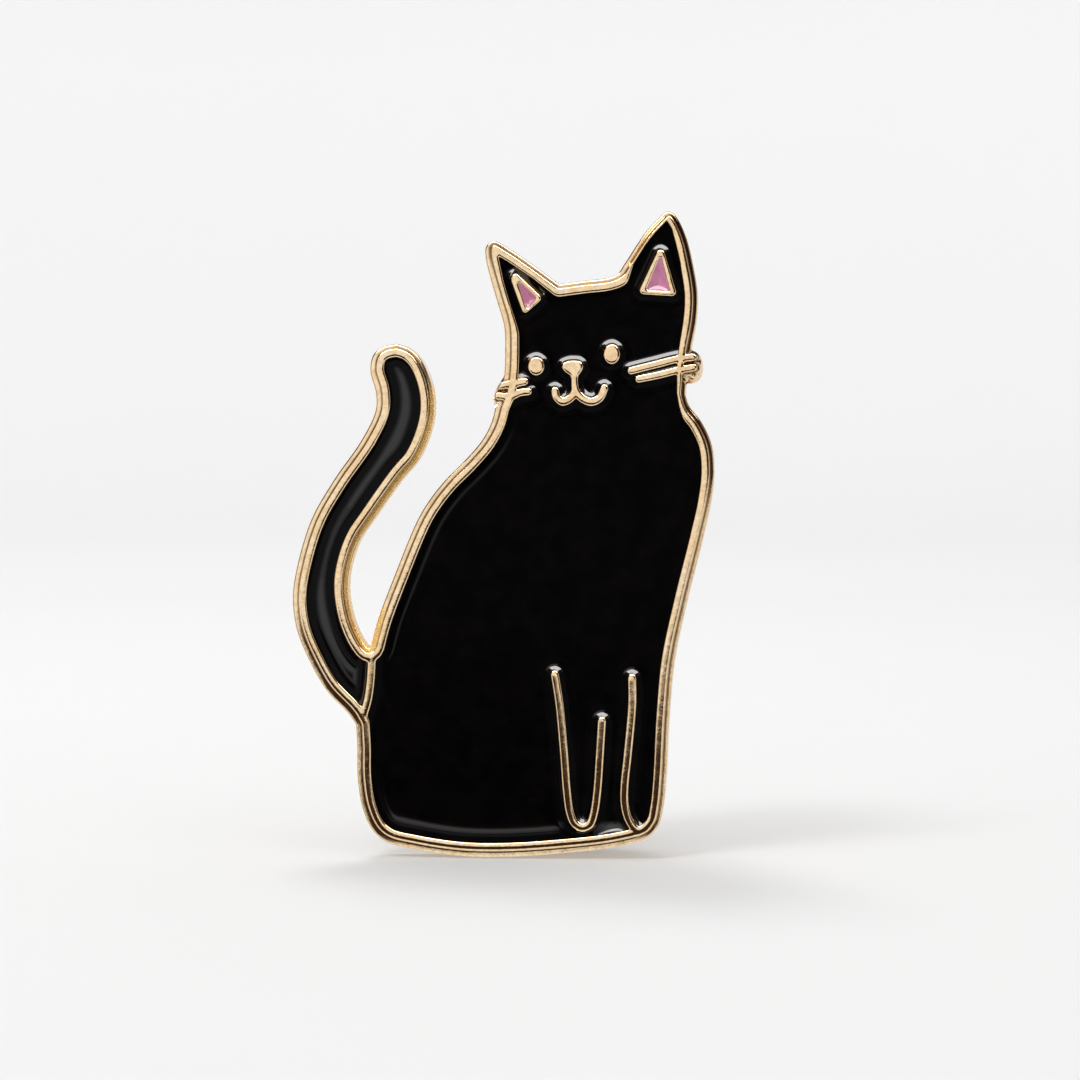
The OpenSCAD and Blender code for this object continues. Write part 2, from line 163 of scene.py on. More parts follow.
def area_field(points, shift=(0, 0)):
    """Signed distance to a closed outline, positive inside."""
    p = np.asarray(points, float) + shift
    inside = np.zeros((len(GX), len(GZ)), bool)
    for a, b in zip(p, np.roll(p, -1, axis=0)):
        lo, hi = sorted((a[0], b[0]))
        i0, i1 = np.searchsorted(GX, [lo, hi])
        for i in range(i0, i1):
            z = a[1] + (GX[i] - a[0]) * (b[1] - a[1]) / (b[0] - a[0])
            inside[i, np.searchsorted(GZ, z):] ^= True
    return np.where(inside, 1, -1) * distance(p, True)


def join(a, b, k=0.0):
    """Union of two fields, with a fillet of size k."""
    if not k:
        return np.maximum(a, b)
    h = np.maximum(k - np.abs(a - b), 0) / k
    return np.maximum(a, b) + h * h * k / 4


def common(a, b, k=0.0):
    """Overlap of two fields, with a fillet of size k."""
    return -join(-a, -b, k)


def stroke(points, width):
    """Field of a line of the given width along a curve."""
    return width / 2 - distance(spline(points), False)


def disc(x, z, rx, rz):
    """Field of an ellipse."""
    a = np.linspace(0, 2 * np.pi, 72, endpoint=False)
    return area_field(np.stack([x + rx * np.cos(a), z + rz * np.sin(a)], 1))


def rounded(points, r):
    """Polygon field with its corners rounded to radius r."""
    p = np.array(points, float)
    n = len(p)
    inner = []
    for i in range(n):
        a, b, d = p[i - 1], p[i], p[(i + 1) % n]
        u, v = (a - b) / np.linalg.norm(a - b), (d - b) / np.linalg.norm(d - b)
        bis = (u + v) / np.linalg.norm(u + v)
        half = math.acos(np.clip(u @ v, -1, 1)) / 2
        inner.append(b + bis * r / math.sin(half))
    return area_field(inner) + r


plate = area_field(OUTLINE)
boss = join(area_field(spline(BOSS_LEFT + BOSS_LEFT[:1])),
            area_field(spline(BOSS_RIGHT + BOSS_RIGHT[:1])))
whole = join(plate, boss, 0.12)
inset = area_field(OUTLINE, RIM_SHIFT)
tips = join(join(area_field(EAR_TIP_LEFT), area_field(EAR_TIP_RIGHT)), area_field(CHEEK_POOL))
pool_edge = join(inset - RIM_W, common(tips, inset - TIP_RIM_W, 0.05), 0.1)

lines = join(stroke(LEG_FRONT, LEG_W), stroke(LEG_BACK, LEG_W))
lines = join(lines, stroke(TAIL_LINE, TAIL_W))
lines = join(lines, join(stroke(MOUTH_LEFT, MOUTH_W), stroke(MOUTH_RIGHT, MOUTH_W), 0.05))
lines = join(lines, area_field(spline(NOSE + NOSE[:1])), 0.06)
for eye in EYES:
    lines = join(lines, disc(*eye))
for path in WHISKERS:
    lines = join(lines, stroke(path, WHISKER_W), 0.05)
for ring, r, pool in EAR_RINGS:
    lines = join(lines, common(rounded(ring, r) + 0.04, -rounded(pool, 0.05)))
reach = join(inset - SHOULDER_W, boss - LUG_EDGE)
ridge = join(common(inset - SHOULDER_W, -pool_edge), common(lines, reach), 0.1)
pool = common(-ridge, pool_edge + 0.2)


def sample(field, p):
    """Field between grid points."""
    u, v = (p[:, 0] - GX[0]) / CELL, (p[:, 1] - GZ[0]) / CELL
    i = np.clip(u.astype(int), 0, len(GX) - 2)
    j = np.clip(v.astype(int), 0, len(GZ) - 2)
    u, v = u - i, v - j
    return (field[i, j] * (1 - u) * (1 - v) + field[i + 1, j] * u * (1 - v)
            + field[i, j + 1] * (1 - u) * v + field[i + 1, j + 1] * u * v)


def contours(field, level, spacing=0.09, shortest=0.3):
    """Closed loops where the field equals level, inside on the left, evenly sampled."""
    v = field - level
    v = np.where(v == 0, 1e-9, v)
    pos = v > 0
    nz = len(GZ)
    mixed = pos[:-1, :-1].astype(int) + pos[1:, :-1] + pos[1:, 1:] + pos[:-1, 1:]
    follow, where = {}, {}
    for i, j in zip(*np.nonzero((mixed > 0) & (mixed < 4))):
        c = ((i, j), (i + 1, j), (i + 1, j + 1), (i, j + 1))
        keys = (2 * (i * nz + j), 2 * ((i + 1) * nz + j) + 1,
                2 * (i * nz + j + 1), 2 * (i * nz + j) + 1)
        crossing = []
        for k in range(4):
            a, b = c[k], c[(k + 1) % 4]
            if pos[a] != pos[b]:
                f = v[a] / (v[a] - v[b])
                where[keys[k]] = (GX[a[0]] + f * CELL * (b[0] - a[0]),
                                  GZ[a[1]] + f * CELL * (b[1] - a[1]))
                crossing.append((bool(pos[a]), keys[k]))
        n = len(crossing)
        for k in range(n):
            if crossing[k][0]:
                follow[crossing[k][1]] = crossing[(k + 1) % n][1]
    loops = []
    while follow:
        start, k = next(iter(follow.items()))
        chain = [start]
        del follow[start]
        while k != start:
            chain.append(k)
            k = follow.pop(k)
        p = np.array([where[k] for k in chain])
        q = np.vstack([p, p[:1]])
        run = np.concatenate([[0], np.cumsum(np.linalg.norm(np.diff(q, axis=0), axis=1))])
        if run[-1] < shortest:
            continue
        t = np.linspace(0, run[-1], max(10, round(run[-1] / spacing)), endpoint=False)
        loops.append(np.stack([np.interp(t, run, q[:, 0]), np.interp(t, run, q[:, 1])], 1))
    return loops


def signed_area(p):
    """Area inside a loop, negative if it runs clockwise."""
    q = np.roll(p, -1, axis=0)
    return 0.5 * float(np.sum(p[:, 0] * q[:, 1] - p[:, 1] * q[:, 0]))


def triangulate(edge_loops, inner_loops=()):
    """Points and triangles of the area inside edge_loops (even-odd), creased along inner_loops."""
    verts, faces, edges = [], [], []
    for loop in edge_loops:
        s = len(verts)
        verts += [Vector(p) for p in loop]
        faces.append(list(range(s, len(verts))))
    for loop in inner_loops:
        s, n = len(verts), len(loop)
        verts += [Vector(p) for p in loop]
        edges += [(s + i, s + (i + 1) % n) for i in range(n)]
    out = delaunay_2d_cdt(verts, edges, faces, 0, 1e-7, True)
    tris = [t for t, f in zip(out[2], out[5]) if len(f) % 2]
    return np.array([tuple(v) for v in out[0]]), tris


class Sheet:
    """Collects triangles and quads and turns them into one closed mesh."""

    def __init__(self):
        self.verts, self.faces, self.layers = [], [], {}

    def patch(self, p, faces, height, flip=False, **layers):
        """p are (x, z) in mm and height is mm above the back."""
        s = len(self.verts)
        self.verts += [(x * MM, -h * MM, z * MM) for (x, z), h in zip(p, height)]
        self.faces += [tuple(s + i for i in (reversed(f) if flip else f)) for f in faces]
        for name in self.layers:
            self.layers[name] += [0.0] * (s - len(self.layers[name]))
        for name, values in layers.items():
            column = self.layers.setdefault(name, [0.0] * s)
            column += [0.0] * (s - len(column)) + list(map(float, values))

    def skirt(self, rows, **layers):
        """Strips between closed loops of one length: rows are (points, height)."""
        n = len(rows[0][0])
        s = len(self.verts)
        for name, values in layers.items():
            column = self.layers.setdefault(name, [0.0] * s)
            column += [0.0] * (s - len(column)) + list(map(float, values)) * len(rows)
        for p, h in rows:
            self.verts += [(x * MM, -v * MM, z * MM) for (x, z), v in zip(p, np.broadcast_to(h, n))]
        for r in range(len(rows) - 1):
            a, b = s + r * n, s + (r + 1) * n
            self.faces += [(a + i, b + i, b + (i + 1) % n, a + (i + 1) % n) for i in range(n)]

    def build(self, name, body, nodes, slot, material):
        """Makes the object, which rides on body and stands in for the CAD nodes."""
        mesh = bpy.data.meshes.new(name)
        mesh.from_pydata(self.verts, [], self.faces)
        for layer, values in self.layers.items():
            data = mesh.attributes.new(layer, "FLOAT", "POINT").data
            data.foreach_set("value", values + [0.0] * (len(self.verts) - len(values)))
        bm = bmesh.new()
        bm.from_mesh(mesh)
        bmesh.ops.remove_doubles(bm, verts=bm.verts, dist=2e-7)
        bmesh.ops.recalc_face_normals(bm, faces=bm.faces)
        bm.to_mesh(mesh)
        bm.free()
        obj = bpy.data.objects.new(name, mesh)
        bpy.context.scene.collection.objects.link(obj)
        mesh.materials.append(material)
        mesh.shade_smooth()
        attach(obj, body)
        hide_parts(*nodes)
        return obj


def ramp(v, lo, hi):
    """Smooth step from 0 at lo to 1 at hi."""
    t = np.clip((v - lo) / (hi - lo), 0, 1)
    return t * t * (3 - 2 * t)


def quarter(v, r):
    """How far a rounded edge of radius r drops at distance v from its side."""
    t = 1 - np.clip(v / r, 0, 1)
    return r * (1 - np.sqrt(1 - t * t))


def slope(field, p, half=0.06):
    """Which way a field grows: its x and z parts, from points half mm to each side."""
    return [(sample(field, p + np.array(d)) - sample(field, p - np.array(d))) / (2 * half)
            for d in ((half, 0), (0, half))]


# ---------------------------------------------------------------- metal plate

# Where the wall of a raised line starts and ends, as distance from the line's edge
WALL_LO, WALL_HI = -0.035, 0.015
# Height of a lug at its edge, how far it rises within LUG_R of its edge, and its waves' depth
LUG_FOOT, LUG_RISE, LUG_R, LUG_WAVE = 0.62, 0.6, 0.5, 0.07
# Radius of the plate's front edge, and how steeply the shoulder falls towards it
EDGE_R, SHOULDER_FALL = 0.08, 0.14
# A line's crown: rounding at its edge, its radius, and the gentle rise over its half width
CROWN_DROP, CROWN_R, CROWN_RISE, CROWN_HALF = 0.055, 0.07, 0.026, 0.21


def plate_height(p):
    """Height of the plate's front: shoulder, lugs, floor of the pockets and crowned lines."""
    d, b, w = sample(plate, p), sample(boss, p), sample(whole, p)
    r, e = sample(ridge, p), sample(pool_edge, p)
    lump = LUG_FOOT + LUG_RISE * np.sqrt(np.clip(1 - (1 - np.clip(b / LUG_R, 0, 1)) ** 2, 0, 1))
    waves = LUG_WAVE * np.sin(11 * p[:, 0] + 4 * p[:, 1]) * np.sin(13 * p[:, 1] - 5 * p[:, 0])
    lump += waves * ramp(b, 0, 0.15)
    flank = SHOULDER - quarter(w, EDGE_R) - SHOULDER_FALL * (SHOULDER_W - np.clip(w, 0, SHOULDER_W))
    ledge = np.where((d > 0) | (b <= 0), flank, lump)
    raised = np.maximum(np.where(d > 0, ledge, 0), lump)
    ledge = np.where((b > 0) & (d > -0.2) & (d < 0.25), raised, ledge)
    base = np.where(e > -0.2, FLOOR, ledge)
    crown = TOP - CROWN_DROP * (1 - np.sqrt(1 - (1 - np.clip(r / CROWN_R, 0, 1)) ** 2)) \
        - CROWN_RISE * (1 - np.clip(r / CROWN_HALF, 0, 1)) ** 2
    return base + (crown - base) * ramp(r, WALL_LO, WALL_HI)


# Spacing of the points on an outer loop
LOOP_STEP = 0.08
rim_loops = contours(whole, 0.0, LOOP_STEP)
creases = []
for field, levels in ((whole, (0.004, 0.014, 0.03, 0.052, 0.08, 0.095, 0.15)),
                      (ridge, (-0.11, -0.05, WALL_LO, -0.018, 0.0, WALL_HI, 0.03, 0.05, 0.08,
                               0.13, 0.18)),
                      (boss, (0.04, 0.09, 0.15, 0.21, 0.27, 0.33, 0.39, 0.45))):
    for level in levels:
        creases += contours(field, level)
sheet = Sheet()
p, tris = triangulate(rim_loops, creases)


# Half width of the painted shade in the valley and along the upper edges, and where the left ear's tip
# is
SHADE_W, LEFT_TIP = 0.045, (-0.45, 14.1)


def painted_shade(p):
    """Painted shade and painted dark reflections on the metal: the valley beside the lines, the upper
    edges, and wide bands on the left ear's tip and the right ear's outer side."""
    r, e, w = sample(ridge, p), sample(pool_edge, p), sample(whole, p)
    gx, gz = slope(whole, p)
    valley = np.exp(-((r + 0.03) / SHADE_W) ** 2)
    edge = np.exp(-(w / SHADE_W) ** 2) * ramp(-gz, 0.3, 0.7)
    tip = np.exp(-((p[:, 0] - LEFT_TIP[0]) ** 2 + (p[:, 1] - LEFT_TIP[1]) ** 2) / 0.8)
    side = ramp(-gx, 0.3, 0.7) * ramp(p[:, 0], 7.6, 8.3) * ramp(p[:, 1], 9.4, 12)
    band = np.exp(-((r + 0.085) / 0.08) ** 4) * np.maximum(side, tip)
    return np.clip(np.maximum(np.maximum(valley, band), edge), 0, 1) * (e < -0.2)


# Middle of the gap between the tail and the body
LOOP = [(-2.6, 9.2), (-2.7, 6.5), (-4.0, 3.4), (-5.6, 0.9), (-6.7, -1.2), (-7.1, -3.2), (-6.75, -5)]
gap = -stroke(LOOP, 0.0)


def gap_reflection_tint(p):
    """Painted reflection of gold in gold: a deeper gold on the rough wall in that gap, where the walls
    face each other.
    """
    return (1 - ramp(sample(gap, p), 0.9, 1.25)) * (1 - ramp(sample(ridge, p), -0.06, -0.02))


# The plate carries its painted shade and its painted gold-in-gold reflection as attributes.
sheet.patch(p, tris, plate_height(p), groove=painted_shade(p), warm=gap_reflection_tint(p))


def pushed(loop, w):
    """Loop moved outwards by w, or inwards if w is negative."""
    t = np.roll(loop, -1, axis=0) - np.roll(loop, 1, axis=0)
    n = np.stack([t[:, 1], -t[:, 0]], 1) / np.linalg.norm(t, axis=1)[:, None]
    return loop + w * n


# The back edge is rounded: how far in and how high each of its rows is
BACK_ROWS = ((-0.012, 0.045), (-0.035, 0.012), (-0.07, 0.0))
back_loops = []
for loop in rim_loops:
    edge = plate_height(loop)
    rows = [(pushed(loop, w), h) for w, h in BACK_ROWS]
    back_loops.append(rows[-1][0])
    sheet.skirt([(loop, edge), (loop, edge * 0.8), (loop, edge * 0.5), (loop, 0.28), (loop, 0.1),
                 rows[0]], warm=gap_reflection_tint(loop))
    sheet.skirt(rows)
# The back, and the posts' round seats in it
ANGLES = np.linspace(0, 2 * np.pi, 96, endpoint=False)
RING = np.stack([np.cos(ANGLES), np.sin(ANGLES)], 1)
seats = [np.array(at) + SEAT_R * RING for at in (UPPER, LOWER)]
p, tris = triangulate(back_loops + seats)
sheet.patch(p, tris, np.zeros(len(p)), flip=True)
for at in (UPPER, LOWER):
    rows = [(np.array(at) + r * RING, h) for r, h in
            ((SEAT_R, 0.0), (SEAT_R - 0.02, 0.01), (SEAT_R - 0.03, 0.03), (SEAT_R - 0.03, SEAT_D))]
    sheet.skirt(rows)
    p, tris = triangulate([rows[-1][0]])
    sheet.patch(p, tris, np.full(len(p), SEAT_D), flip=True)
plate_sheet = sheet

# ---------------------------------------------------------------- enamel

# The fill's edge lies this far under the metal's wall
UNDER = -0.012
# How high the fill climbs at a line and at the rim, and over what distance it falls off
LINE_LIP, LINE_FALL, RIM_LIP, RIM_FALL = 0.29, 0.22, 0.05, 0.14
# The narrow place between the legs' feet, where the fill stands high
CORNER_X = 5.5


def enamel_height(p, drop, crown):
    """The fill wets its metal: it climbs steeply to the inner lines and a little to the rim."""
    s, line, rim = sample(pool, p), -sample(lines, p), sample(pool_edge, p)
    corner = np.exp(-((p[:, 0] - CORNER_X) / 0.6) ** 2) * (1 - ramp(p[:, 1], -14.4, -14.0))
    lip = LINE_LIP * np.exp(-np.clip(line, 0, 9) / LINE_FALL) * (1 - ramp(line, 0.36, 0.62))
    rim_lip = (RIM_LIP + 0.2 * corner) * np.exp(-np.clip(rim, 0, 9) / RIM_FALL)
    lip = np.maximum(lip, rim_lip * (1 - ramp(rim, 0.3, 0.5)))
    foot = 0.05 * np.clip(1 - rim / 1.1, 0, 1) ** 2 * (1 - ramp(p[:, 1], -13.5, -11))
    rise = 0.007 * np.exp(-((s - 0.45) / 0.06) ** 2)
    dome = crown * (1 - (1 - np.clip(s / 0.75, 0, 1)) ** 2)
    return ENAMEL - drop + lip + foot + rise + dome


def body_gloss(p):
    """Painted highlight on the fill, as its clear coat's weight: strongest where it climbs above an
    inner line and in the corner, with a streak along the body's left side and a band along its foot."""
    line, rim = -sample(lines, p), sample(pool_edge, p)
    up = slope(lines, p)[1]
    over = (1 - ramp(line, 0.24, 0.34)) * (0.04 + 0.96 * ramp(-up, 0.3, 0.7))
    gx, gz = slope(pool_edge, p)
    side = 0.25 * np.exp(-((rim - 0.42) / 0.07) ** 2) * ramp(gx, 0.3, 0.8) * (1 - ramp(p[:, 1], 3, 6)) \
        * ramp(line, 0.5, 0.8)
    foot = 0.75 * ramp(rim, 0.2, 0.7) * (1 - ramp(rim, 0.72, 0.92)) * ramp(gz, 0.3, 0.8) \
        * (1 - ramp(p[:, 1], -13.5, -12)) * (1 - ramp(p[:, 0], 2.4, 3.2))
    corner = np.exp(-((p[:, 0] - CORNER_X) / 0.7) ** 2) * (1 - ramp(p[:, 1], -14.5, -14.2))
    return np.clip(np.maximum(over, corner) + side + foot, 0, 1)


def tail_gloss(p):
    """Painted highlight on the tail's fill, as its clear coat's weight: strongest along its middle, for
    its streak.
    """
    return 0.08 + 0.75 * ramp(sample(pool, p), 0.38, 0.75)


def ear_gloss(p):
    """Painted highlight on the ears' fill, as its clear coat's weight: strongest at its edge."""
    return 0.12 + 0.7 * (1 - ramp(sample(pool, p), 0.05, 0.4))


def inside(point, loops):
    """Whether a point lies inside loops, even-odd."""
    n = 0
    for loop in loops:
        q = np.roll(loop, -1, axis=0)
        up = (loop[:, 1] > point[1]) != (q[:, 1] > point[1])
        along = (point[1] - loop[up, 1]) / (q[up, 1] - loop[up, 1])
        x = loop[up, 0] + along * (q[up, 0] - loop[up, 0])
        n += int(np.sum(x > point[0]))
    return n % 2 == 1


def enamel_solid(edges, drop, crown, levels, gloss):
    """One fill: drop and crown shape its top, levels are its creases, gloss is its clear coat's weight,
    which paints where highlights show.
    """
    sheet = Sheet()
    lo, hi = edges[0].min(0), edges[0].max(0)
    inner = []
    for level in levels:
        for loop in contours(pool, level, 0.09 if level < 0.3 else 0.14):
            if np.all(loop.min(0) > lo) and np.all(loop.max(0) < hi) and inside(loop[0], edges):
                inner.append(loop)
    p, tris = triangulate(edges, inner)
    sheet.patch(p, tris, enamel_height(p, drop, crown), gloss=gloss(p))
    for loop in edges:
        sheet.skirt([(loop, enamel_height(loop, drop, crown)), (loop, FLOOR)])
    p, tris = triangulate(edges)
    sheet.patch(p, tris, np.full(len(p), FLOOR), flip=True)
    return sheet


pool_loops = contours(pool, UNDER, LOOP_STEP)
outers = sorted([q for q in pool_loops if signed_area(q) > 0.1], key=signed_area, reverse=True)
holes = [q for q in pool_loops if signed_area(q) < -0.02]


def pool_at(x, z):
    """The pool's outer loop that holds a point, and its holes."""
    held = [q for q in outers if inside((x, z), [q])]
    outer = min(held, key=signed_area)
    mine = [h for h in holes if inside(h[0], [outer])
            and min((q for q in outers if inside(h[0], [q])), key=signed_area) is outer]
    return [outer] + mine


# Distances from the metal at which the fills are creased, the first nine in the ears
LEVELS = (0.02, 0.05, 0.085, 0.125, 0.17, 0.215, 0.26, 0.3, 0.33, 0.36, 0.4, 0.45, 0.5, 0.56, 0.64,
          0.78, 0.95)
enamels = {
    "enamel_body": enamel_solid(pool_at(4, 3), 0.1, 0.0, LEVELS, body_gloss),
    "enamel_tail": enamel_solid(pool_at(-9, -3), 0.05, 0.03, LEVELS[:-1], tail_gloss),
    "enamel_ear_left": enamel_solid(pool_at(1.2, 11.9), 0.09, 0.0, LEVELS[:9], ear_gloss),
    "enamel_ear_right": enamel_solid(pool_at(7.8, 12.8), 0.09, 0.0, LEVELS[:9], ear_gloss),
}

# ---------------------------------------------------------------- materials


class Nodes:
    """Short way to wire a node material."""

    def __init__(self, name):
        self.mat = bpy.data.materials.new(name)
        self.mat.use_nodes = True
        self.tree = self.mat.node_tree
        self.bsdf = next(n for n in self.tree.nodes if n.type == "BSDF_PRINCIPLED")
        self.coord = self.add("ShaderNodeTexCoord").outputs["Object"]

    def add(self, kind, **values):
        node = self.tree.nodes.new(kind)
        for key, value in values.items():
            if hasattr(node, key):
                setattr(node, key, value)
            else:
                node.inputs[key.replace("_", " ")].default_value = value
        return node

    def link(self, out, sock):
        self.tree.links.new(out, sock)

    def noise(self, size, detail=4.0):
        """Noise whose features are about size mm."""
        n = self.add("ShaderNodeTexNoise", Scale=1 / (size * MM), Detail=detail, Roughness=0.55)
        self.link(self.coord, n.inputs["Vector"])
        return n.outputs["Fac"]

    def span(self, src, a, b, c, d):
        """src from a..b mapped to c..d."""
        m = self.add("ShaderNodeMapRange")
        for key, v in zip(("From Min", "From Max", "To Min", "To Max"), (a, b, c, d)):
            m.inputs[key].default_value = v
        self.link(src, m.inputs["Value"])
        return m.outputs["Result"]

    def mix(self, fac, a, b):
        """Colour between a and b, each a colour or a socket."""
        m = self.add("ShaderNodeMix", data_type="RGBA")
        for sock, v in ((m.inputs[6], a), (m.inputs[7], b)):
            if isinstance(v, tuple):
                sock.default_value = (*v, 1.0)
            else:
                self.link(v, sock)
        self.link(fac, m.inputs[0])
        return m.outputs[2]

    def math(self, op, a, b):
        """Sum or product of numbers or sockets."""
        m = self.add("ShaderNodeMath", operation=op)
        for sock, v in zip(m.inputs, (a, b)):
            if isinstance(v, (int, float)):
                sock.default_value = v
            else:
                self.link(v, sock)
        return m.outputs[0]

    def attribute(self, name):
        return self.add("ShaderNodeAttribute", attribute_name=name).outputs["Fac"]

    def edges(self):
        """Pointiness, below 0.5 in hollows."""
        return self.add("ShaderNodeNewGeometry").outputs["Pointiness"]

    def bump(self, *layers):
        """layers are (height, depth in mm)."""
        normal = None
        for height, depth in layers:
            b = self.add("ShaderNodeBump", Strength=1.0, Distance=depth * MM)
            self.link(height, b.inputs["Height"])
            if normal:
                self.link(normal, b.inputs["Normal"])
            normal = b.outputs["Normal"]
        self.link(normal, self.bsdf.inputs["Normal"])

    def set(self, **values):
        """Sets the shader's sockets, or links what comes from a node."""
        for key, v in values.items():
            sock = self.bsdf.inputs[key.replace("_", " ")]
            if isinstance(v, bpy.types.NodeSocket):
                self.link(v, sock)
            else:
                sock.default_value = (*v, 1.0) if isinstance(v, tuple) else v


def gold(name, light, warm, dark, rough, grain=0.0015, painted_light_layers=False):
    """Plating with patches, dark spots and fine grain, and painted shade in its hollows;
    painted_light_layers adds the plate's painted shade and dark reflections and the painted
    gold-in-gold reflection on the gap's wall.
    """
    n = Nodes(name)
    patchy = n.span(n.noise(1.6, 3.0), 0.35, 0.65, 0.0, 1.0)
    color = n.mix(patchy, light, warm)
    # dark is the real darker tone of spots and grain, and below also the colour of painted shade.
    color = n.mix(n.span(n.noise(0.22, 5.0), 0.42, 0.66, 0.0, 0.22), color, dark)
    spots = n.math("MULTIPLY", n.span(n.noise(0.16, 2.0), 0.62, 0.74, 0.0, 1.0), 0.35)
    color = n.mix(spots, color, dark)
    # Painted shade and painted dark reflections on the plate, from its groove.
    if painted_light_layers:
        color = n.mix(n.math("MULTIPLY", n.attribute("groove"), 0.95), color, dark)
    # Painted shade in hollows, by pointiness.
    hollow_shade = n.span(n.edges(), 0.42, 0.5, 0.6, 0.0)
    color = n.mix(hollow_shade, color, dark)
    roughness = n.span(n.noise(0.35, 5.0), 0.3, 0.7, rough[0], rough[1])
    fine = n.noise(0.06, 3.0)
    if painted_light_layers:
        # The gap's wall: painted reflection of gold in gold as a deeper gold, on a rougher, grainier
        # wall.
        cut = n.attribute("warm")
        color = n.mix(cut, color, n.mix(n.span(n.noise(0.1, 3.0), 0.4, 0.6, 0.0, 1.0),
                                        (0.95, 0.68, 0.30), (0.84, 0.52, 0.16)))
        roughness = n.math("ADD", roughness, n.math("MULTIPLY", cut, 0.22))
        fine = n.math("MULTIPLY", fine, n.math("ADD", 1.0, n.math("MULTIPLY", cut, 4.0)))
    n.set(Base_Color=color, Metallic=1.0, Roughness=roughness)
    n.bump((n.noise(0.5, 2.0), grain * 2.5), (fine, grain))
    return n.mat


PLATE_GOLD = gold("plated_gold", (0.95, 0.76, 0.51), (0.92, 0.67, 0.39), (0.16, 0.08, 0.03),
                  (0.03, 0.08), painted_light_layers=True)
POST_GOLD = gold("post_gold", (0.86, 0.66, 0.36), (0.80, 0.56, 0.28), (0.24, 0.13, 0.05),
                 (0.18, 0.34), 0.002)
CLUTCH_GOLD = gold("clutch_gold", (0.87, 0.65, 0.33), (0.80, 0.55, 0.25), (0.25, 0.13, 0.05),
                   (0.15, 0.32), 0.002)


def solder_metal():
    """Dull, slightly lumpy grey metal."""
    n = Nodes("solder_metal")
    patchy = n.span(n.noise(0.5, 5.0), 0.35, 0.65, 0.0, 1.0)
    color = n.mix(patchy, (0.62, 0.58, 0.50), (0.42, 0.36, 0.28))
    n.set(Base_Color=color, Metallic=1.0, Roughness=n.span(n.noise(0.3, 4.0), 0.3, 0.7, 0.32, 0.55))
    n.bump((n.noise(0.4, 4.0), 0.02))
    return n.mat


def enamel(name, deep, light, rough, level, coat):
    """Colour under a clear coat, whose weight is the fill's painted highlight mask."""
    n = Nodes(name)
    color = n.mix(n.span(n.noise(0.9, 4.0), 0.35, 0.65, 0.0, 1.0), deep, light)
    n.set(Base_Color=color, Roughness=n.span(n.noise(0.6, 4.0), 0.3, 0.7, rough[0], rough[1]),
          Specular_IOR_Level=level, Coat_Roughness=0.03, Coat_IOR=coat,
          Coat_Weight=n.attribute("gloss"))
    n.bump((n.noise(1.2, 2.0), 0.0012), (n.noise(0.12, 2.0), 0.0002))
    return n.mat


BLACK = enamel("black_enamel", (0.0012, 0.0010, 0.0012), (0.0024, 0.0019, 0.0022), (0.06, 0.12),
               0.01, 1.65)
PINK = enamel("pink_enamel", (0.5, 0.18, 0.31), (0.59, 0.235, 0.38), (0.12, 0.22), 0.4, 1.4)

plate_sheet.build("plate_metal", "root", ["base_plate"], "gold_plate", PLATE_GOLD)
for node, sheet in enamels.items():
    slot, material = ("pink_enamel", PINK) if "ear" in node else ("black_enamel", BLACK)
    sheet.build(node + "_fill", "root", [node], slot, material)

# ---------------------------------------------------------------- posts and clutches

SOLDER = solder_metal()
for node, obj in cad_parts.items():
    if node.endswith("_post"):
        mat, width = POST_GOLD, 0.04
    elif node.endswith("_solder"):
        mat, width = SOLDER, 0.02
    elif "clutch" in node:
        mat, width = CLUTCH_GOLD, 0.06
    else:
        continue
    for k in range(len(obj.material_slots)):
        obj.material_slots[k].material = mat
    if not obj.material_slots:
        obj.data.materials.append(mat)
    bevel = obj.modifiers.new("edge", "BEVEL")
    bevel.width = width * MM
    bevel.segments = 3
    bevel.limit_method = "ANGLE"
    bevel.angle_limit = math.radians(35)
    bevel.harden_normals = False

# ---------------------------------------------------------------- studio

# Just under the plate's lowest point
FLOOR_Z = -16.13


def plain(name, color, rough, near_glow, far_glow):
    """Even paper that glows a little, more where it is far from the object."""
    n = Nodes(name)
    tone = n.mix(n.noise(30.0, 2.0), tuple(c * 0.985 for c in color), color)
    n.set(Base_Color=tone, Roughness=rough, Specular_IOR_Level=0.1)
    far = n.add("ShaderNodeVectorMath", operation="LENGTH")
    n.link(n.coord, far.inputs[0])
    n.set(Emission_Color=color,
          Emission_Strength=n.span(far.outputs["Value"], 0.22, 0.62, near_glow, far_glow))
    n.mat.cycles.emission_sampling = "NONE"
    return n.mat


def bowl():
    """Round studio floor that curves up into its own backdrop."""
    radius, curve, height = 0.42, 0.25, 0.95
    profile = [(0.05, 0.0), (0.15, 0.0), (radius, 0.0)]
    profile += [(radius + curve * math.sin(a), curve * (1 - math.cos(a)))
                for a in np.linspace(0.1, math.pi / 2, 14)]
    profile += [(radius + curve, height)]
    n = 96
    verts, faces = [], []
    for r, z in profile:
        verts += [(r * math.cos(a), r * math.sin(a), z)
                  for a in np.linspace(0, 2 * math.pi, n, endpoint=False)]
    for k in range(len(profile) - 1):
        faces += [(k * n + i, k * n + (i + 1) % n, (k + 1) * n + (i + 1) % n, (k + 1) * n + i)
                  for i in range(n)]
    verts.append((0, 0, 0))
    faces += [(len(verts) - 1, (i + 1) % n, i) for i in range(n)]
    mesh = bpy.data.meshes.new("studio_floor")
    mesh.from_pydata(verts, [], faces)
    mesh.shade_smooth()
    obj = bpy.data.objects.new("studio_floor", mesh)
    bpy.context.scene.collection.objects.link(obj)
    obj.location = (0, 0, FLOOR_Z * MM)
    mesh.materials.append(plain("studio_paper", (0.55, 0.55, 0.55), 0.9, 0.30, 0.72))
    return obj


# Brightness of the lamp overhead, and of the dark behind it
CARD_GLOW, BEHIND_GLOW = 9.0, 0.06


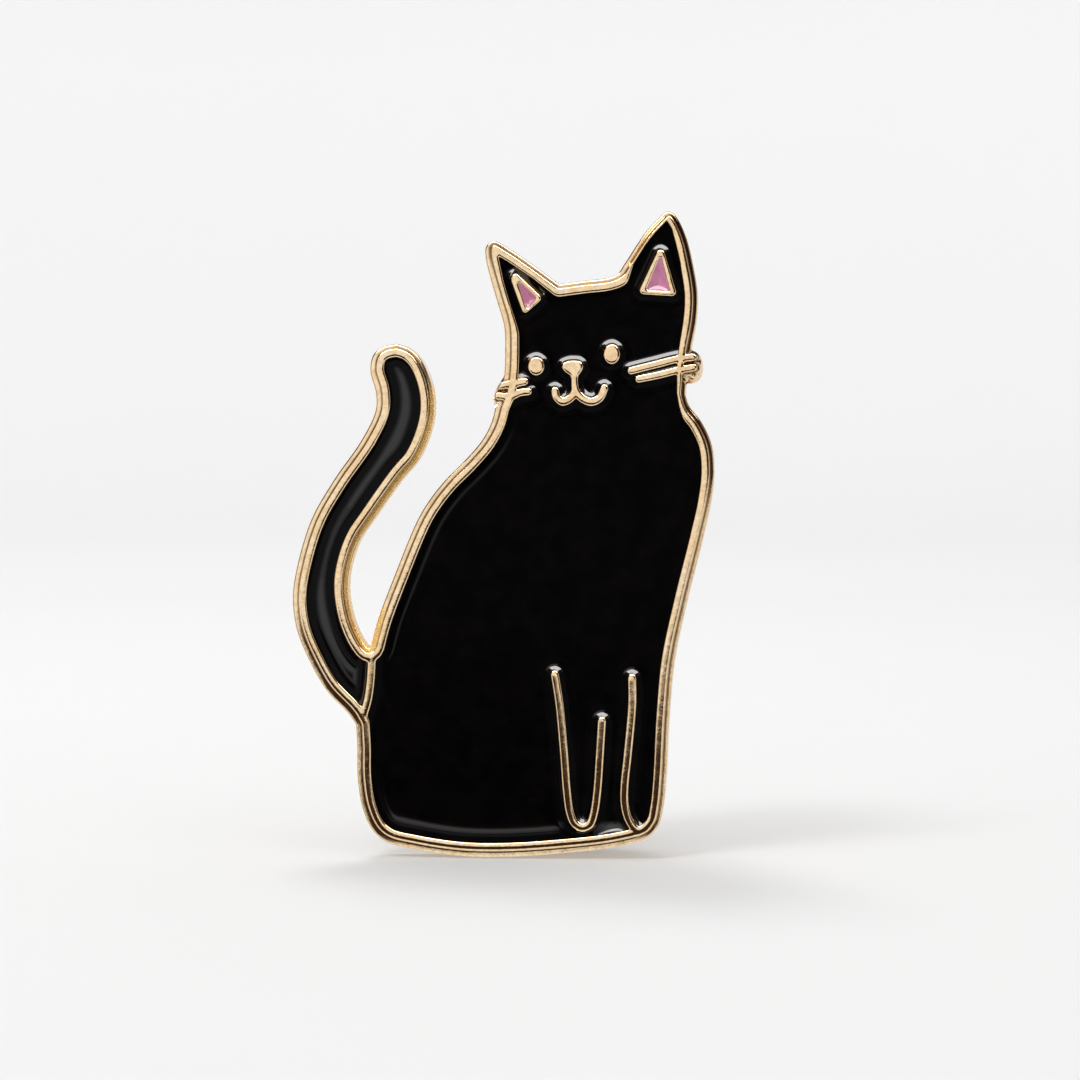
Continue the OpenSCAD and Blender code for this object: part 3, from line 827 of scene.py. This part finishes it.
def glow_at(azimuth, elevation):
    """Brightness that reflections see, by angles in degrees: a bright front, dark gaps low in
    front and to the right, dark above, and a bright card overhead."""
    def soft(v, lo, hi, edge=3):
        return ramp(v, lo - edge, lo + edge) * (1 - ramp(v, hi - edge, hi + edge))

    front = 1.03 - 0.14 * ramp(azimuth, -30, 30)
    glow = front * soft(azimuth, -46, 46) + 0.35 * soft(azimuth, -80, -46)
    glow += 0.6 * soft(azimuth, 46, 80)
    glow += 0.85 * (1 - soft(azimuth, -80, 80))
    edge = 11 - 4 * ramp(elevation, -0.5, 0.8)
    right = ramp(azimuth - edge, -1, 1) * (1 - ramp(azimuth, 44, 47)) * ramp(elevation, -5, -3.5)
    low = -5.45 - 0.06 * np.abs(azimuth + 4.5)
    under = (1 - ramp(elevation, low - 0.4, low + 0.4)) * ramp(elevation, -27, -22)
    under *= soft(azimuth, -25, 15, 2)
    glow *= (1 - 0.95 * right) * (1 - 0.96 * under)
    a, e = np.radians(azimuth), np.radians(elevation)
    across = np.abs(np.sin(a) * np.cos(e))
    over = np.degrees(np.arctan2(np.sin(e), np.cos(e) * np.cos(a)))
    glow *= 1 - 0.6 * ramp(over, 32, 42) * (1 - ramp(over, 120, 140))
    card = (over > 48 - 8 * ramp(across, 0.3, 0.6)) & (over < 84) & (across < 0.65)
    behind_card = (over >= 84) & (over < 150)
    return np.where(card, CARD_GLOW, np.where(behind_card, BEHIND_GLOW, glow))


def surround(radius=0.3, cols=360, rows=178):
    """What metal and enamel mirror: a sphere round the object that only reflections see. Its
    dark parts are warm, as gold seen in gold is."""
    az = np.linspace(-180, 180, cols, endpoint=False)
    el = np.linspace(-89, 89, rows)
    A, E = np.meshgrid(az, el)
    a, e = np.radians(A), np.radians(E)
    at = np.stack([np.sin(a) * np.cos(e), -np.cos(a) * np.cos(e), np.sin(e)], -1)
    at = at.reshape(-1, 3) * radius
    faces = [(r * cols + c, r * cols + (c + 1) % cols,
              (r + 1) * cols + (c + 1) % cols, (r + 1) * cols + c)
             for r in range(rows - 1) for c in range(cols)]
    mesh = bpy.data.meshes.new("surround")
    mesh.from_pydata([tuple(v) for v in at], [], faces)
    mesh.attributes.new("glow", "FLOAT", "POINT").data.foreach_set("value", glow_at(A, E).ravel())
    obj = bpy.data.objects.new("surround", mesh)
    bpy.context.scene.collection.objects.link(obj)
    n = Nodes("surround")
    glow = n.attribute("glow")
    n.set(Base_Color=(0.0, 0.0, 0.0), Roughness=1.0, Specular_IOR_Level=0.0, Emission_Strength=glow,
          Emission_Color=n.mix(n.span(glow, 0.1, 0.5, 0.0, 1.0), (1.0, 0.55, 0.3), (1.0, 0.985, 0.965)))
    mesh.materials.append(n.mat)
    n.mat.cycles.emission_sampling = "NONE"
    obj.visible_camera = obj.visible_diffuse = obj.visible_shadow = False
    return obj


room = bowl()
room.visible_glossy = False
surround()


def softbox(name, at, size, watts):
    """Square lamp aimed at the object."""
    light = bpy.data.lights.new(name, "AREA")
    light.shape = "RECTANGLE"
    light.size = light.size_y = size
    light.energy = watts
    obj = bpy.data.objects.new(name, light)
    bpy.context.scene.collection.objects.link(obj)
    obj.location = at
    obj.rotation_mode = "QUATERNION"
    obj.rotation_quaternion = (-Vector(at)).to_track_quat("-Z", "Y")
    obj.visible_camera = False
    obj.visible_glossy = False


softbox("key", (-0.18, -0.25, 0.42), 0.14, 0.75)
softbox("back", (-0.07, 0.2, 0.36), 0.12, 0.65)

world = bpy.data.worlds.new("studio_world")
bpy.context.scene.world = world
world.use_nodes = True
sky = next(n for n in world.node_tree.nodes if n.type == "BACKGROUND")
sky.inputs["Color"].default_value = (0.9, 0.9, 0.9, 1)
sky.inputs["Strength"].default_value = 0.9
bpy.context.scene.view_settings.view_transform = "Standard"

# ---------------------------------------------------------------- camera

# Lens and sensor in mm, and how many of the frame's 1080 pixels one mm of the object covers
LENS, SENSOR, PER_MM, FRAME = 120.0, 36.0, 20.08, 1080
TARGET = Vector((1.85, -1.2, -0.21)) * MM
AZIMUTH, ELEVATION = math.radians(4.8), math.radians(2.5)
back = Vector((math.sin(AZIMUTH) * math.cos(ELEVATION), -math.cos(AZIMUTH) * math.cos(ELEVATION),
               math.sin(ELEVATION)))
data = bpy.data.cameras.new("camera")
data.lens = LENS
data.sensor_width = SENSOR
data.clip_start = 0.005
data.clip_end = 10
camera = bpy.data.objects.new("camera", data)
bpy.context.scene.collection.objects.link(camera)
camera.location = TARGET + back * (FRAME / PER_MM * MM * LENS / SENSOR)
camera.rotation_mode = "QUATERNION"
camera.rotation_quaternion = (-back).to_track_quat("-Z", "Y")
bpy.context.scene.camera = camera
